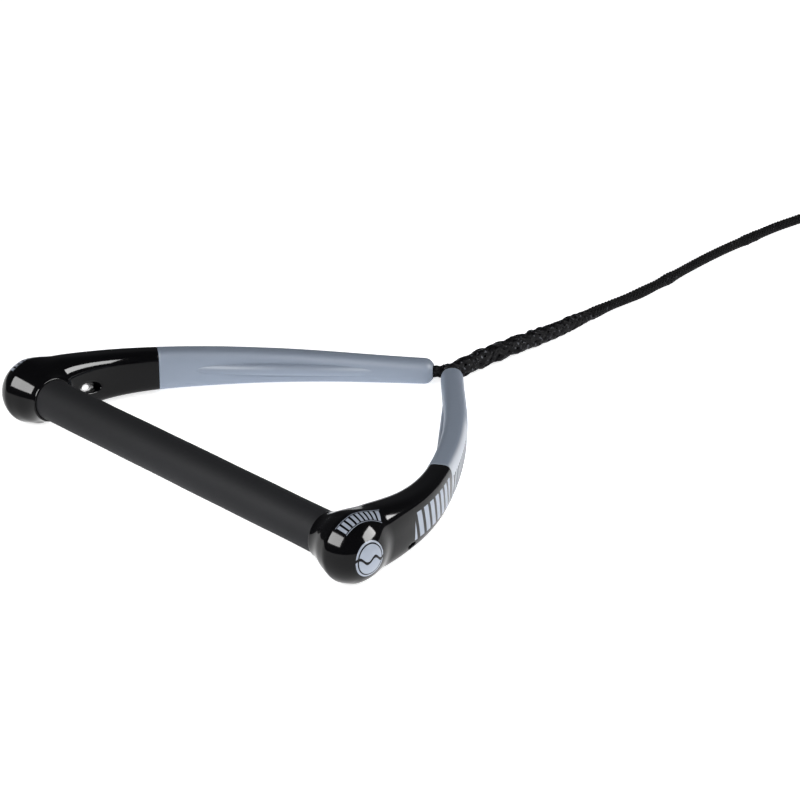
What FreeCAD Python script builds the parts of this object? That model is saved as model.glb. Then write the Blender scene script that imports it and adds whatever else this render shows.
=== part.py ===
import FreeCAD, Part
import math
import os

from FreeCAD import Vector

# Tow rope handle for water skiing, in millimetres, +Z up.
# Origin: the middle of the bar's axis. +X runs along the bar, +Y towards the rope.
# The handle lies on a floor: the two arms slope down from the bar to the throat.

# --- bar ------------------------------------------------------------------
TUBE_RADIUS = 11.0
BORE_RADIUS = 9.5
TUBE_HALF = 165.0
GRIP_RADIUS = 13.0
GRIP_HALF = 138.0
FOAM_HALF = 124.0
PLUG_LENGTH = 12.0
KNOT_X = 150.0
ROPE_HOLE_RADIUS = 4.5
PEG_X = 141.0
PEG_RADIUS = 2.5
PEG_TIP = 9.7
CAP_FLANGE = 2.0
CAP_SPIGOT = 5.0
KNOT_RING = 4.9
KNOT_ROPE = 3.7
KNOT_CORE = 6.4

# --- moulded end: a ball round the bar's end, and the root of an arm -------
BALL_RADIUS = 21.2
MOUTH_X = 131.0
MOUTH_RADIUS = 14.2
NECK = ((135.0, 14.9), (139.0, 16.3), (144.0, 18.5), (149.0, 20.1))
SHOULDER_X = 154.0

# --- arm: plan of its centreline, and half sizes against distance along it --
ARM_PLAN = ((150.0, 0.0), (143.9, 51.0), (116.0, 102.0), (71.55, 153.0), (13.7, 204.1))
ARM_STATIONS = (0.0, 12.0, 25.0, 40.0, 62.0, 88.0, 115.0, 145.0, 175.0, 205.0, 232.0)
ARM_HALF_WIDTH = (16.5, 15.0, 12.9, 11.0, 9.3, 8.2, 7.9, 7.65, 7.5, 7.3, 7.22)
ARM_HALF_HEIGHT = (20.3, 19.7, 18.1, 16.2, 14.4, 13.2, 12.3, 11.2, 10.2, 9.2, 8.6)
SQUARENESS = 3.1
SECTION_POINTS = 24
GUARD_START = 88.0
TONGUE_LENGTH = 12.0
TONGUE_RADIUS = 6.0
# rounded tip: distance past the last point of the plan, and share of the section
TIP = ((0.0, 1.0), (4.0, 0.97), (6.6, 0.86), (8.2, 0.68))
TIP_HALF_WIDTH = 7.22
TIP_HALF_HEIGHT = 8.27

# --- drain hole through each arm root --------------------------------------
DRAIN_MOUTH = Vector(136.3, 33.0, -2.2)
DRAIN_WAY = Vector(0.876, 0.324, -0.361)
DRAIN_SECTIONS = ((-8.0, 9.0, 4.0), (0.0, 7.4, 3.3), (11.0, 3.8, 1.8), (60.0, 3.2, 1.5))

# --- rope ---------------------------------------------------------------------
ROPE_RADIUS = 3.5
BRIDLE_RADIUS = 4.0
LEG_STEP = 28.0
THROAT_Y = 216.0
THROAT_BALL = 7.0
THROAT_GAP = 0.3
TILT = math.radians(3.6)
FLOOR = -BALL_RADIUS

# splice at the throat: points along its middle, and its radius at each
SPLICE_POINTS = (
    (-0.2, 218.8, -13.6), (-0.5, 224.0, -13.5), (-1.0, 234.0, -13.4), (-1.5, 256.0, -13.9),
    (-1.2, 278.0, -14.4), (-1.0, 300.0, -15.1), (-2.0, 320.0, -15.9), (-3.8, 336.0, -16.7),
    (-5.2, 346.0, -17.3),
)
SPLICE_RADII = (6.2, 6.9, 7.0, 6.7, 6.4, 6.0, 5.4, 4.3, 3.5)

# rope from the splice to the coil
LEAD_POINTS = (
    (-5.2, 346.0, -17.3), (-7.4, 362.0, -17.7), (-6.0, 388.0, -17.7), (-8.4, 420.0, -17.7),
    (-13.2, 452.0, -17.7), (-16.9, 486.0, -17.7), (-17.4, 518.0, -17.7), (-18.4, 546.0, -17.7),
    (-15.2, 574.0, -17.7), (-15.6, 602.0, -17.7), (-15.0, 628.0, -17.7),
)

# coil: its middle on the floor, its rings' radii, and its height
COIL_X = 30.0
COIL_Y = 628.0
COIL_OUTER = 45.0
COIL_INNER = 38.0
COIL_CREST = 7.0
TIE_ANGLE = 135.0
TIE_WIDTH = 16.0
TIE_THICKNESS = 1.2

# rope from the coil to the end loop
TAIL_POINTS = (
    (30.0, 669.5, -11.4), (43.0, 669.9, -10.5), (58.0, 668.0, -10.6), (77.0, 662.0, -14.0),
    (97.0, 652.0, -16.9), (114.0, 637.0, -17.7), (125.0, 617.0, -17.7), (129.0, 594.0, -17.7),
)
LOOP_SPLICE_POINTS = (
    (129.0, 594.0, -17.7), (130.2, 582.0, -16.6), (131.0, 568.0, -15.4), (131.4, 546.0, -14.8),
)
LOOP_SPLICE_RADII = (3.5, 4.6, 5.8, 6.4)
LOOP_X = 131.6
LOOP_Y = 498.0
LOOP_RADIUS = 22.0
LOOP_ENDS_Y = 549.0
LOOP_LEG_OFFSET = 3.7


def tilted(shape):
    """The handle's own flat layout, sloped about the bar so that it rests on the floor."""
    turned = shape.copy()
    turned.rotate(Vector(0, 0, 0), Vector(1, 0, 0), -math.degrees(TILT))
    return turned


def tilted_point(point):
    """The same slope for one point."""
    return Vector(
        point.x,
        point.y * math.cos(TILT) + point.z * math.sin(TILT),
        point.z * math.cos(TILT) - point.y * math.sin(TILT),
    )


def mirrored(shape):
    """The left-hand copy of a right-hand shape."""
    return shape.mirror(Vector(0, 0, 0), Vector(1, 0, 0))


def rod(start, end, radius):
    """A round bar along X between two places."""
    return Part.makeCylinder(radius, end - start, Vector(start, 0, 0), Vector(1, 0, 0))


# --- curves and sweeps --------------------------------------------------------


def plan_curve():
    """The right arm's centreline."""
    curve = Part.BSplineCurve()
    curve.interpolate(
        Points=[Vector(x, y, 0) for x, y in ARM_PLAN],
        InitialTangent=Vector(0, 1, 0),
        FinalTangent=Vector(-0.75, 0.66, 0),
    )
    return curve


def at_distance(curve, distance):
    """Point and heading of the arm's centreline, a distance along it from the bar."""
    place = curve.parameterAtDistance(distance, curve.FirstParameter)
    heading = Vector(*curve.tangent(place)[0])
    return curve.value(place), heading.normalize()


def between(value, places, amounts):
    """Straight-line reading of a short table."""
    for low, high, start, end in zip(places, places[1:], amounts, amounts[1:]):
        if value <= high:
            return start + (end - start) * (value - low) / (high - low)
    return amounts[-1]


def arm_section(centre, heading, half_width, half_height):
    """A rounded box section, square to the arm's centreline."""
    across = Vector(heading.y, -heading.x, 0)
    points = []
    for step in range(SECTION_POINTS):
        angle = 2 * math.pi * step / SECTION_POINTS
        wide = math.copysign(abs(math.cos(angle)) ** (2 / SQUARENESS), math.cos(angle))
        high = math.copysign(abs(math.sin(angle)) ** (2 / SQUARENESS), math.sin(angle))
        points.append(centre + across * (half_width * wide) + Vector(0, 0, half_height * high))
    outline = Part.BSplineCurve()
    outline.interpolate(Points=points, PeriodicFlag=True)
    return Part.Wire([outline.toShape()])


def arm_section_at(curve, distance):
    """The arm's own section, a distance along it from the bar."""
    centre, heading = at_distance(curve, distance)
    half_width = between(distance, ARM_STATIONS, ARM_HALF_WIDTH)
    half_height = between(distance, ARM_STATIONS, ARM_HALF_HEIGHT)
    return arm_section(centre, heading, half_width, half_height)


def filleted_path(points):
    """Straight runs joined by tangent arcs, as large as the runs allow, and their radii."""
    corners = [Vector(*p) for p in points]
    edges, radii = [], []
    start = corners[0]
    for before, corner, after in zip(corners, corners[1:], corners[2:]):
        back = (before - corner).normalize()
        onward = (after - corner).normalize()
        shorter = min((before - corner).Length, (after - corner).Length)
        half_turn = (math.pi - back.getAngle(onward)) / 2
        trim = 0.45 * shorter
        radius = trim / math.tan(half_turn)
        radii.append(radius)
        inward = (back + onward).normalize()
        middle = corner + inward * (radius / math.cos(half_turn) - radius)
        enter = corner + back * trim
        leave = corner + onward * trim
        edges.append(Part.LineSegment(start, enter).toShape())
        edges.append(Part.Arc(enter, middle, leave).toShape())
        start = leave
    edges.append(Part.LineSegment(start, corners[-1]).toShape())
    return Part.Wire(edges), radii


def tube_along(path, radius):
    """A round solid along a path."""
    start = path.Edges[0]
    heading = start.tangentAt(start.FirstParameter)
    ring = Part.Wire([Part.makeCircle(radius, start.valueAt(start.FirstParameter), heading)])
    return path.makePipeShell([ring], True, True)


def rope_tube(name, points, radius):
    """A length of rope, with its tightest bend printed and its volume compared."""
    path, radii = filleted_path(points)
    solid = tube_along(path, radius)
    expected = math.pi * radius ** 2 * path.Length
    print(
        f"{name}: {path.Length:.0f} mm, bends {', '.join(f'{r:.0f}' for r in radii)} mm,"
        f" volume {solid.Volume / expected:.4f} of section by length"
    )
    return solid


def round_loft(points, radii):
    """A round solid of changing thickness through a row of points."""
    places = [Vector(*p) for p in points]
    rings = []
    for index, (place, radius) in enumerate(zip(places, radii)):
        ahead = places[min(index + 1, len(places) - 1)]
        behind = places[max(index - 1, 0)]
        rings.append(Part.Wire([Part.makeCircle(radius, place, ahead - behind)]))
    return Part.makeLoft(rings, True, False)


# --- the bar and what is in it ---------------------------------------------------


def bar_tube():
    tube = rod(-TUBE_HALF, TUBE_HALF, TUBE_RADIUS).cut(rod(-TUBE_HALF, TUBE_HALF, BORE_RADIUS))
    for side in (-1, 1):
        hole = Part.makeCylinder(
            ROPE_HOLE_RADIUS, 2 * TUBE_RADIUS, Vector(side * KNOT_X, 0, 0), Vector(0, 1, 0)
        )
        tube = tube.cut(hole).cut(peg_pair(side, 0, 2 * TUBE_RADIUS))
    return tube


def peg_pair(side, low, high):
    """Round pegs above and below the bar's axis, between two distances from it."""
    place = Vector(side * PEG_X, 0, 0)
    up = Vector(0, 0, 1)
    upper = Part.makeCylinder(PEG_RADIUS, high - low, place + up * low, up)
    lower = Part.makeCylinder(PEG_RADIUS, high - low, place - up * low, -up)
    return upper.fuse(lower)


def grip_sleeve():
    return rod(-GRIP_HALF, GRIP_HALF, GRIP_RADIUS).cut(rod(-GRIP_HALF, GRIP_HALF, TUBE_RADIUS))


def bar_plug():
    return rod(FOAM_HALF, FOAM_HALF + PLUG_LENGTH, BORE_RADIUS)


def stopper_knot():
    ring = Part.makeTorus(KNOT_RING, KNOT_ROPE, Vector(KNOT_X, 0, 0), Vector(0, 1, 0))
    return ring.fuse(Part.makeSphere(KNOT_CORE, Vector(KNOT_X, 0, 0)))


def tube_end_cap():
    spigot = rod(TUBE_HALF - CAP_SPIGOT, TUBE_HALF, BORE_RADIUS)
    return spigot.fuse(rod(TUBE_HALF, TUBE_HALF + CAP_FLANGE, TUBE_RADIUS)).removeSplitter()


# --- the arms ---------------------------------------------------------------------


def rope_leg_tube(curve):
    """The bridle's leg: from its knot, along the arm, out of the tip and on to the throat."""
    reach = curve.length() + TIP[-1][0]
    points = [Vector(KNOT_X, 2.0, 0)]
    distance = LEG_STEP
    while distance < reach - LEG_STEP:
        points.append(at_distance(curve, distance)[0])
        distance += LEG_STEP
    tip, heading = at_distance(curve, curve.length())
    points.append(tip)
    points.append(Vector(0, THROAT_Y, 0) - heading * (THROAT_BALL - 2.0))
    tube = rope_tube("bridle leg", points, BRIDLE_RADIUS)
    cup = Part.makeSphere(THROAT_BALL + THROAT_GAP, Vector(0, THROAT_Y, 0))
    return tube.cut(stopper_knot()).cut(cup)


def ball_end():
    """Ball with a flared neck, turned about the bar's axis."""
    past = SHOULDER_X - KNOT_X
    shoulder = math.sqrt(BALL_RADIUS ** 2 - past ** 2)
    neck = Part.BSplineCurve()
    neck.interpolate(
        Points=[Vector(MOUTH_X, 0, MOUTH_RADIUS)]
        + [Vector(x, 0, r) for x, r in NECK]
        + [Vector(SHOULDER_X, 0, shoulder)],
        InitialTangent=Vector(1, 0, 0.1),
        FinalTangent=Vector(shoulder, 0, -past),
    )
    halfway = BALL_RADIUS * math.sqrt(0.5)
    dome = Part.Arc(
        Vector(SHOULDER_X, 0, shoulder),
        Vector(KNOT_X + halfway, 0, halfway),
        Vector(KNOT_X + BALL_RADIUS, 0, 0),
    )
    outline = Part.Wire([
        Part.LineSegment(Vector(MOUTH_X, 0, 0), Vector(MOUTH_X, 0, MOUTH_RADIUS)).toShape(),
        neck.toShape(),
        dome.toShape(),
        Part.LineSegment(Vector(KNOT_X + BALL_RADIUS, 0, 0), Vector(MOUTH_X, 0, 0)).toShape(),
    ])
    return Part.Face(outline).revolve(Vector(0, 0, 0), Vector(1, 0, 0), 360)


def drain_hole():
    """Flared slanting hole from the arm's inner face to its lower outer edge."""
    way = Vector(DRAIN_WAY).normalize()
    level = Vector(way.y, -way.x, 0).normalize()
    rings = []
    for distance, half_wide, half_high in DRAIN_SECTIONS:
        oval = Part.Ellipse(Vector(0, 0, 0), half_wide, half_high).toShape()
        oval.Placement = FreeCAD.Placement(
            DRAIN_MOUTH + way * distance,
            FreeCAD.Rotation(level, way.cross(level), way, "ZXY"),
        )
        rings.append(Part.Wire([oval]))
    return Part.makeLoft(rings, True, True)


def bar_space():
    """All of the bar that the moulded end is cast round."""
    sleeve = rod(MOUTH_X - 1, GRIP_HALF, GRIP_RADIUS)
    return sleeve.fuse(rod(MOUTH_X - 1, TUBE_HALF + CAP_FLANGE, TUBE_RADIUS))


def end_moulding(curve, leg):
    stations = [s for s in ARM_STATIONS if s <= GUARD_START]
    root = Part.makeLoft([arm_section_at(curve, s) for s in stations], True, False)
    shape = ball_end().fuse(root)
    start, heading = at_distance(curve, GUARD_START)
    tongue = Part.makeCylinder(TONGUE_RADIUS, TONGUE_LENGTH + 2, start - heading * 2, heading)
    shape = shape.fuse(tongue).cut(bar_space())
    pegs = peg_pair(1, PEG_TIP, TUBE_RADIUS + 0.5)
    return shape.fuse(pegs).cut(leg).cut(drain_hole()), tongue


def arm_guard(curve, leg, tongue):
    stations = [s for s in ARM_STATIONS if s >= GUARD_START]
    end, heading = at_distance(curve, curve.length())
    tip = [
        arm_section(
            end + heading * past, heading, TIP_HALF_WIDTH * share, TIP_HALF_HEIGHT * share
        )
        for past, share in TIP
    ]
    body = Part.makeLoft([arm_section_at(curve, s) for s in stations] + tip[:1], True, False)
    rounded = Part.makeLoft(tip, True, False)
    return body.fuse(rounded).cut(tongue).cut(leg)


# --- the rope ---------------------------------------------------------------------


def throat_splice():
    ball = Part.makeSphere(THROAT_BALL, tilted_point(Vector(0, THROAT_Y, 0)))
    return ball.fuse(round_loft(SPLICE_POINTS, SPLICE_RADII))


def coil_ring():
    """Outer shape of the coil: a flat ring of rope, with rounded edges."""
    outer = COIL_OUTER + ROPE_RADIUS
    inner = COIL_INNER - ROPE_RADIUS
    height = 2 * ROPE_RADIUS + COIL_CREST
    base = Vector(COIL_X, COIL_Y, FLOOR)
    ring = Part.makeCylinder(outer, height, base).cut(Part.makeCylinder(inner, height, base))
    rims = [e for e in ring.Edges if len(e.Vertexes) == 1 and abs(e.BoundBox.ZLength) < 0.01]
    return ring.makeFillet(2.5, rims)


def coil_tie():
    """A strap round the coil's bundle, square to the ropes."""
    outer = COIL_OUTER + ROPE_RADIUS + TIE_THICKNESS
    inner = COIL_INNER - ROPE_RADIUS - TIE_THICKNESS
    height = 2 * ROPE_RADIUS + COIL_CREST + TIE_THICKNESS
    band = Part.makeBox(outer - inner, TIE_WIDTH, height, Vector(inner, -TIE_WIDTH / 2, FLOOR))
    long_edges = [e for e in band.Edges if e.BoundBox.YLength > TIE_WIDTH / 2]
    band = band.makeFillet(3.0, long_edges)
    space = Part.makeBox(
        outer - inner - 2 * TIE_THICKNESS,
        TIE_WIDTH,
        height - 2 * TIE_THICKNESS,
        Vector(inner + TIE_THICKNESS, -TIE_WIDTH / 2, FLOOR + TIE_THICKNESS),
    )
    long_edges = [e for e in space.Edges if e.BoundBox.YLength > TIE_WIDTH / 2]
    space = space.makeFillet(2.2, long_edges)
    for shape in (band, space):
        shape.rotate(Vector(0, 0, 0), Vector(0, 0, 1), TIE_ANGLE)
        shape.translate(Vector(COIL_X, COIL_Y, 0))
    return band.cut(space), band


def end_loop():
    """Teardrop of rope: out of the splice, round, and back."""
    height = LOOP_SPLICE_POINTS[0][2]
    reach = LOOP_ENDS_Y - LOOP_Y
    span = math.hypot(reach, LOOP_LEG_OFFSET)
    # a leg from (offset, reach) touches the circle where its radius is square to it
    angle = math.atan2(reach, LOOP_LEG_OFFSET) - math.acos(LOOP_RADIUS / span)
    touch_x = LOOP_RADIUS * math.cos(angle)
    touch_y = LOOP_Y + LOOP_RADIUS * math.sin(angle)
    right_end = Vector(LOOP_X + LOOP_LEG_OFFSET, LOOP_ENDS_Y, height)
    right_touch = Vector(LOOP_X + touch_x, touch_y, height)
    left_end = Vector(LOOP_X - LOOP_LEG_OFFSET, LOOP_ENDS_Y, height)
    left_touch = Vector(LOOP_X - touch_x, touch_y, height)
    path = Part.Wire([
        Part.LineSegment(right_end, right_touch).toShape(),
        Part.Arc(right_touch, Vector(LOOP_X, LOOP_Y - LOOP_RADIUS, height), left_touch).toShape(),
        Part.LineSegment(left_touch, left_end).toShape(),
    ])
    print(f"end loop: {path.Length:.0f} mm, bend {LOOP_RADIUS:.0f} mm")
    return tube_along(path, ROPE_RADIUS)


# --- everything, by node name -------------------------------------------------------


def handle_nodes():
    curve = plan_curve()
    leg = rope_leg_tube(curve)
    moulding, tongue = end_moulding(curve, leg)
    right_hand = {
        "bar_plug": bar_plug(),
        "stopper_knot": stopper_knot(),
        "tube_end_cap": tube_end_cap(),
        "end_moulding": moulding,
        "arm_guard": arm_guard(curve, leg, tongue),
        "rope_leg": leg,
    }
    nodes = {
        "bar_tube": bar_tube(),
        "grip_sleeve": grip_sleeve(),
        "bar_foam_core": rod(-FOAM_HALF, FOAM_HALF, BORE_RADIUS),
    }
    for name, shape in right_hand.items():
        nodes["right_" + name] = shape
        nodes["left_" + name] = mirrored(shape)
    return {name: tilted(shape) for name, shape in nodes.items()}


def rope_nodes():
    ring = coil_ring()
    tie, tie_block = coil_tie()
    loop_splice = round_loft(LOOP_SPLICE_POINTS, LOOP_SPLICE_RADII)
    return {
        "throat_splice": throat_splice(),
        "rope_lead": rope_tube("rope lead", LEAD_POINTS, ROPE_RADIUS).cut(ring),
        "rope_coil": ring.cut(tie),
        "coil_tie": tie,
        "rope_tail": rope_tube("rope tail", TAIL_POINTS, ROPE_RADIUS).cut(ring),
        "end_loop_splice": loop_splice,
        "end_loop": end_loop().cut(loop_splice),
    }


os.makedirs("parts", exist_ok=True)
for node_name, node_shape in {**handle_nodes(), **rope_nodes()}.items():
    solids = node_shape.Solids
    solid = solids[0] if len(solids) == 1 else node_shape
    print(f"{node_name}: {len(solids)} solid, valid {solid.isValid()}, {solid.Volume:.0f} mm3")
    solid.exportStep(f"parts/{node_name}.step")
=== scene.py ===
import math

import bpy
import numpy as np
from mathutils import Matrix, Quaternion, Vector


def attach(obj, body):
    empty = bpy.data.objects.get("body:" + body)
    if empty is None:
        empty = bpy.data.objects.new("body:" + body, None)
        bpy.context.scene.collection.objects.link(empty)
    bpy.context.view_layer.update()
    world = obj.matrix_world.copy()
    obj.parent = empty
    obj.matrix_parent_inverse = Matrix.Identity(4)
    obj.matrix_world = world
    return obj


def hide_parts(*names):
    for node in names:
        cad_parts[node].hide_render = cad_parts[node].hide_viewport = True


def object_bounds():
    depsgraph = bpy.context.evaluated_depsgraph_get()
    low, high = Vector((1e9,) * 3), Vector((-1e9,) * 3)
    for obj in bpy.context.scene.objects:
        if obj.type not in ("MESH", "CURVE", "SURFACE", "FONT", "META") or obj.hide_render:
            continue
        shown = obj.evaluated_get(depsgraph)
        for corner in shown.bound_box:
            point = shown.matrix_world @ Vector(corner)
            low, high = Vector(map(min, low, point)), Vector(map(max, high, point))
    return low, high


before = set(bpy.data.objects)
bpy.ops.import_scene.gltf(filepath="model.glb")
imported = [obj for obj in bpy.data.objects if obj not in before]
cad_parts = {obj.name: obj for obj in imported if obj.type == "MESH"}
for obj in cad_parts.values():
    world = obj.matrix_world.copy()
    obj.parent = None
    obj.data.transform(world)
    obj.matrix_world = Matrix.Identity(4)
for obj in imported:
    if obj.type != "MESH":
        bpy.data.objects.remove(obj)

cad_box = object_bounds()

# Tow rope handle. Lengths below are in millimetres, in the handle's flat layout, where the
# bar's axis is X and the arms lie in the plane z = 0, unless a line says otherwise.
# laid() slopes that layout about the bar, as the handle rests on the floor, in metres.
MM = 0.001
TILT = math.radians(3.6)
FLOOR = cad_box[0][2]

# --- camera: aim point and distance in metres, angles in degrees
CAMERA_AIM = (0.0282, 0.1471, -0.0006)
CAMERA_DISTANCE = 1.720
CAMERA_AZIMUTH = 49.35
CAMERA_ELEVATION = 24.96
CAMERA_ROLL = -2.96
CAMERA_LENS = 126.0

# --- studio: each light's name, place, aim and size in metres, its power in watts, and whether
# it only shows as a highlight
SOFTBOXES = (
    ("front_softbox", (0.0, -1.15, 0.90), (0, 0.05, 0), (1.35, 0.85), 15, False),
    ("back_softbox", (1.05, 0.80, 0.66), (0, 0.1, 0), (1.15, 0.55), 11, False),
    ("front_card", (0.0, -1.14, 0.89), (0, 0.05, 0), (1.30, 0.80), 75, True),
    ("back_card", (1.04, 0.79, 0.65), (0, 0.1, 0), (1.20, 0.56), 62, True),
)
WORLD_COLOR = (0.9, 0.93, 1.0, 1)
WORLD_GLOW = 0.08
FLOOR_HALF = 6.0
FLOOR_GLOW = 0.78

# --- bar
GRIP_RADIUS = 13.0
GRIP_HALF = 138.0
RECESS_RADIUS = 12.6
RECESS_END = 136.5
GRIP_SKIN = 0.09

# --- moulded ball
BALL_X = 150.0
BALL_RADIUS = 21.2
MOUTH_X = 131.0
SHOULDER_X = 154.0
NECK_PLACES = (131.0, 135.0, 139.0, 144.0, 149.0, 154.0)
NECK_RADII = (14.2, 14.9, 16.3, 18.5, 20.1, 20.82)
BALL_BLEND = 5.0
MOUTH_ROUNDING = 0.8
ROOT_ROUNDING = 3.0
END_ROUNDING = 0.5
RECESS_ROUNDING = 0.4
DRAIN_LIP = 1.8
DRAIN_LIP_DEPTH = 10.0
DRAIN_EXIT_LIP = 0.5
MOULDING_CELL = 0.8
MOULDING_LOW = (104.0, -23.0, -23.0)
MOULDING_HIGH = (173.5, 104.0, 23.0)

# --- arm: plan of its centreline, and half sizes against distance along it
ARM_PLAN = np.array(((150.0, 0.0), (143.9, 51.0), (116.0, 102.0), (71.55, 153.0), (13.7, 204.1)))
ARM_STATIONS = (0.0, 12.0, 25.0, 40.0, 62.0, 88.0, 115.0, 145.0, 175.0, 205.0, 232.0, 256.0)
ARM_HALF_WIDTH = (16.5, 15.0, 12.9, 11.0, 9.3, 8.2, 7.9, 7.65, 7.5, 7.3, 7.22, 7.22)
ARM_HALF_HEIGHT = (18.8, 19.0, 18.0, 16.2, 14.4, 13.2, 12.3, 11.2, 10.2, 9.2, 8.6, 8.2)
ARM_SQUARENESS = (2.2, 2.4, 2.8, 3.3, 3.7, 3.8, 3.7, 3.5, 3.2, 2.9, 2.6, 2.4)
GUARD_STARTS = {"right": 98.5, "left": 84.5}
TIP_PASTS = {"right": 10.0, "left": 7.4}
TIP_ROUNDING = 7.0
TIP_HOLE = 4.4
TIP_OPEN_SHARE = 0.62
TIP_POWER = 2.4
GUARD_BORE = 3.9
GUARD_AROUND = 128
GUARD_STEP = 1.5
GUARD_EDGE = ((0.0, 0.985), (0.15, 1.004), (0.35, 1.012))

# --- drain hole through each arm root: its mouth, its way, and half sizes along it
DRAIN_MOUTH = np.array((136.3, 33.0, -2.2))
DRAIN_WAY = np.array((0.876, 0.324, -0.361))
DRAIN_PLACES = (-8.0, 0.0, 11.0, 60.0)
DRAIN_HALF_WIDE = (9.0, 7.4, 3.8, 3.2)
DRAIN_HALF_HIGH = (4.0, 3.3, 1.8, 1.5)

# --- rope
THROAT = (0.0, 216.0, 0.0)
THROAT_BALL = 7.0
BRIDLE_RADIUS = 4.0
ROPE_RADIUS = 3.5

# points of the route in metres, as laid on the floor
SPLICE_ROUTE = (
    (0.0, 0.2086, -0.0136), (0.0, 0.2156, -0.0136), (-0.0005, 0.2240, -0.0135),
    (-0.0010, 0.2340, -0.0134), (-0.0015, 0.2560, -0.0139), (-0.0012, 0.2780, -0.0144),
    (-0.0010, 0.3000, -0.0151), (-0.0020, 0.3200, -0.0159), (-0.0038, 0.3360, -0.0167),
    (-0.0052, 0.3460, -0.0173), (-0.0062, 0.3530, -0.0175),
)
LEAD_ROUTE = (
    (-0.0052, 0.3460, -0.0173), (-0.0074, 0.3620, -0.0177), (-0.0060, 0.3880, -0.0177),
    (-0.0084, 0.4200, -0.0177), (-0.0132, 0.4520, -0.0177), (-0.0169, 0.4860, -0.0177),
    (-0.0174, 0.5180, -0.0177), (-0.0184, 0.5460, -0.0177), (-0.0152, 0.5740, -0.0177),
    (-0.0156, 0.6020, -0.0177),
)
TAIL_ROUTE = (
    (0.0430, 0.6699, -0.0105), (0.0580, 0.6680, -0.0106), (0.0770, 0.6620, -0.0140),
    (0.0970, 0.6520, -0.0169), (0.1140, 0.6370, -0.0177), (0.1250, 0.6170, -0.0177),
    (0.1290, 0.5940, -0.0177), (0.1302, 0.5820, -0.0166), (0.1310, 0.5680, -0.0154),
)
LOOP_SPLICE_ROUTE = (
    (0.1280, 0.6000, -0.0177), (0.1290, 0.5940, -0.0177), (0.1302, 0.5820, -0.0166),
    (0.1310, 0.5680, -0.0154), (0.1314, 0.5460, -0.0148), (0.1315, 0.5440, -0.0148),
)
COIL_MIDDLE = (0.030, 0.628)
COIL_REST = -0.0177
COIL_TURNS = (0.0, 0.75, 1.0, 1.5, 1.75, 1.875, 2.0, 2.25)
COIL_RADII = (0.045, 0.045, 0.038, 0.038, 0.0395, 0.0405, 0.0415, 0.0415)
COIL_RISE = (0.0, 0.0, 0.0, 0.0, 0.0066, 0.0070, 0.0066, 0.0063)
COIL_STEPS = 16
TIE_TURN = 0.125
TIE_LIFT = 0.0012
LOOP_MIDDLE = (0.1316, 0.498)
LOOP_RADIUS = 0.022
LOOP_ENDS_Y = 0.551
LOOP_LEG_OFFSET = 0.0037
STRAND_FILL = 0.68


# =================================================================== camera and light


def add_camera():
    data = bpy.data.cameras.new("camera")
    data.lens = CAMERA_LENS
    camera = bpy.data.objects.new("camera", data)
    bpy.context.scene.collection.objects.link(camera)
    azimuth = math.radians(CAMERA_AZIMUTH)
    elevation = math.radians(CAMERA_ELEVATION)
    onward = Vector((
        -math.sin(azimuth) * math.cos(elevation),
        math.cos(azimuth) * math.cos(elevation),
        -math.sin(elevation),
    ))
    turn = onward.to_track_quat("-Z", "Y") @ Quaternion((0, 0, 1), math.radians(CAMERA_ROLL))
    camera.matrix_world = Matrix.Translation(
        Vector(CAMERA_AIM) - onward * CAMERA_DISTANCE
    ) @ turn.to_matrix().to_4x4()
    bpy.context.scene.camera = camera


def area_light(name, place, aim, size, power, only_highlights):
    data = bpy.data.lights.new(name, "AREA")
    data.shape = "RECTANGLE"
    data.size, data.size_y = size
    data.energy = power
    light = bpy.data.objects.new(name, data)
    bpy.context.scene.collection.objects.link(light)
    onward = Vector(aim) - Vector(place)
    light.rotation_euler = onward.to_track_quat("-Z", "Y").to_euler()
    light.location = place
    light.visible_diffuse = not only_highlights


def add_studio():
    """A white floor, dim surroundings and large soft lights."""
    scene = bpy.context.scene
    scene.view_settings.view_transform = "Standard"
    world = bpy.data.worlds.new("studio")
    world.use_nodes = True
    back = world.node_tree.nodes["Background"]
    back.inputs["Color"].default_value = WORLD_COLOR
    back.inputs["Strength"].default_value = WORLD_GLOW
    scene.world = world
    for softbox in SOFTBOXES:
        area_light(*softbox)
    signs = ((-1, -1), (1, -1), (1, 1), (-1, 1))
    corners = [(FLOOR_HALF * across, FLOOR_HALF * along, FLOOR) for across, along in signs]
    mesh = bpy.data.meshes.new("floor")
    mesh.from_pydata(corners, [], [(0, 1, 2, 3)])
    floor = bpy.data.objects.new("floor", mesh)
    scene.collection.objects.link(floor)
    paint = Paint("floor_white", (0.92, 0.92, 0.92), 0.9)
    paint.shader.inputs["Emission Color"].default_value = (1, 1, 1, 1)
    paint.shader.inputs["Emission Strength"].default_value = FLOOR_GLOW
    mesh.materials.append(paint.material)


# =================================================================== materials


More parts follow.
